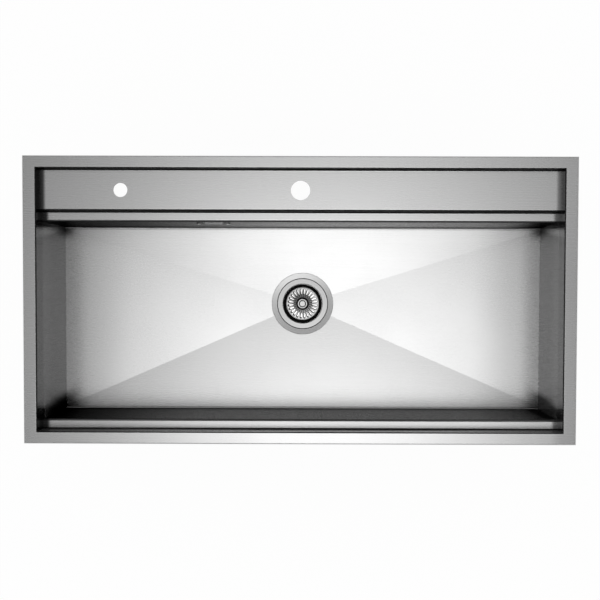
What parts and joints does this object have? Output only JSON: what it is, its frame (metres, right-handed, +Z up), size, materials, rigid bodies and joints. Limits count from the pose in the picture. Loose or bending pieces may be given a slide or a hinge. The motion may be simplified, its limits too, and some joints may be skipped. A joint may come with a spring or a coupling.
{
  "type": "kitchen sink",
  "caption": "Inset kitchen sink in brushed stainless steel: one long bowl with a creased floor, recessed tap deck, accessory ledges, overflow and a lift-out basket strainer.",
  "frame": {"origin": "centre of the worktop's cut-out, on the worktop's top surface", "axes": "+X left to right along the sink, +Y from front to back, +Z up out of the worktop"},
  "size_m": [1, 0.52, 0.297],
  "materials": {
    "brushed_steel": "brushed along its length",
    "turned_steel": "brushed in circles",
    "polished_steel": "polished stainless steel",
    "zinc_plate": "zinc plated steel",
    "black_rubber": "smooth moulded rubber",
    "seal_foam": "closed cell foam",
    "damping_pad": "pressed damping sheet",
    "white_plastic": "moulded"
  },
  "bodies": {
    "sink": {"rim_frame": "brushed_steel", "tap_deck": "brushed_steel", "back_wall": "brushed_steel", "front_wall": "brushed_steel", "front_upstand": "brushed_steel", "left_end_wall": "brushed_steel", "right_end_wall": "brushed_steel", "floor_pan": "brushed_steel", "deck_brace": "zinc_plate", "rim_seal": "seal_foam", "overflow_grille": "brushed_steel", "overflow_screws": "polished_steel", "overflow_gasket": "seal_foam", "overflow_housing": "white_plastic", "overflow_pipe": "white_plastic", "overflow_elbow": "white_plastic", "overflow_tail": "white_plastic", "overflow_nut_top": "white_plastic", "overflow_nut_bottom": "white_plastic", "waste_flange": "turned_steel", "flange_gasket": "seal_foam", "body_gasket": "seal_foam", "waste_body": "white_plastic", "clamp_screw": "turned_steel", "clip_rail_front": "zinc_plate", "clip_rail_back": "zinc_plate", "clip_rail_left": "zinc_plate", "clip_rail_right": "zinc_plate", "front_pad": "damping_pad", "back_pad": "damping_pad", "left_pad": "damping_pad", "right_pad": "damping_pad", "floor_pad_left": "damping_pad", "floor_pad_right": "damping_pad"},
    "basket": {"basket": "polished_steel", "basket_seal": "black_rubber", "stem_bush": "black_rubber"},
    "stopper": {"knob": "polished_steel", "stopper_stem": "polished_steel", "stopper": "black_rubber"},
    "clip_front_left": {"clip_front_left": "zinc_plate"},
    "screw_front_left": {"screw_front_left": "zinc_plate"},
    "clip_front_middle": {"clip_front_middle": "zinc_plate"},
    "screw_front_middle": {"screw_front_middle": "zinc_plate"},
    "clip_front_right": {"clip_front_right": "zinc_plate"},
    "screw_front_right": {"screw_front_right": "zinc_plate"},
    "clip_back_left": {"clip_back_left": "zinc_plate"},
    "screw_back_left": {"screw_back_left": "zinc_plate"},
    "clip_back_middle": {"clip_back_middle": "zinc_plate"},
    "screw_back_middle": {"screw_back_middle": "zinc_plate"},
    "clip_back_right": {"clip_back_right": "zinc_plate"},
    "screw_back_right": {"screw_back_right": "zinc_plate"},
    "clip_left": {"clip_left": "zinc_plate"},
    "screw_left": {"screw_left": "zinc_plate"},
    "clip_right": {"clip_right": "zinc_plate"},
    "screw_right": {"screw_right": "zinc_plate"}
  },
  "joints": [
    {"name": "basket_lift", "type": "slide", "parent": "sink", "child": "basket", "axis": [0, 0, 1], "range_m": [0, 0.24]},
    {"name": "stopper_lift", "type": "slide", "parent": "basket", "child": "stopper", "axis": [0, 0, 1], "range_m": [0, 0.008]},
    {"name": "clip_front_left_slide", "type": "slide", "parent": "sink", "child": "clip_front_left", "axis": [1, 0, 0], "range_m": [-0.1, 0.1]},
    {"name": "screw_front_left_rise", "type": "slide", "parent": "clip_front_left", "child": "screw_front_left", "axis": [0, 0, 1], "range_m": [0, 0.022]},
    {"name": "clip_front_middle_slide", "type": "slide", "parent": "sink", "child": "clip_front_middle", "axis": [1, 0, 0], "range_m": [-0.1, 0.1]},
    {"name": "screw_front_middle_rise", "type": "slide", "parent": "clip_front_middle", "child": "screw_front_middle", "axis": [0, 0, 1], "range_m": [0, 0.022]},
    {"name": "clip_front_right_slide", "type": "slide", "parent": "sink", "child": "clip_front_right", "axis": [1, 0, 0], "range_m": [-0.1, 0.1]},
    {"name": "screw_front_right_rise", "type": "slide", "parent": "clip_front_right", "child": "screw_front_right", "axis": [0, 0, 1], "range_m": [0, 0.022]},
    {"name": "clip_back_left_slide", "type": "slide", "parent": "sink", "child": "clip_back_left", "axis": [1, 0, 0], "range_m": [-0.1, 0.1]},
    {"name": "screw_back_left_rise", "type": "slide", "parent": "clip_back_left", "child": "screw_back_left", "axis": [0, 0, 1], "range_m": [0, 0.022]},
    {"name": "clip_back_middle_slide", "type": "slide", "parent": "sink", "child": "clip_back_middle", "axis": [1, 0, 0], "range_m": [-0.1, 0.1]},
    {"name": "screw_back_middle_rise", "type": "slide", "parent": "clip_back_middle", "child": "screw_back_middle", "axis": [0, 0, 1], "range_m": [0, 0.022]},
    {"name": "clip_back_right_slide", "type": "slide", "parent": "sink", "child": "clip_back_right", "axis": [1, 0, 0], "range_m": [-0.1, 0.1]},
    {"name": "screw_back_right_rise", "type": "slide", "parent": "clip_back_right", "child": "screw_back_right", "axis": [0, 0, 1], "range_m": [0, 0.022]},
    {"name": "clip_left_slide", "type": "slide", "parent": "sink", "child": "clip_left", "axis": [0, 1, 0], "range_m": [-0.1, 0.1]},
    {"name": "screw_left_rise", "type": "slide", "parent": "clip_left", "child": "screw_left", "axis": [0, 0, 1], "range_m": [0, 0.022]},
    {"name": "clip_right_slide", "type": "slide", "parent": "sink", "child": "clip_right", "axis": [0, 1, 0], "range_m": [-0.1, 0.1]},
    {"name": "screw_right_rise", "type": "slide", "parent": "clip_right", "child": "screw_right", "axis": [0, 0, 1], "range_m": [0, 0.022]}
  ]
}
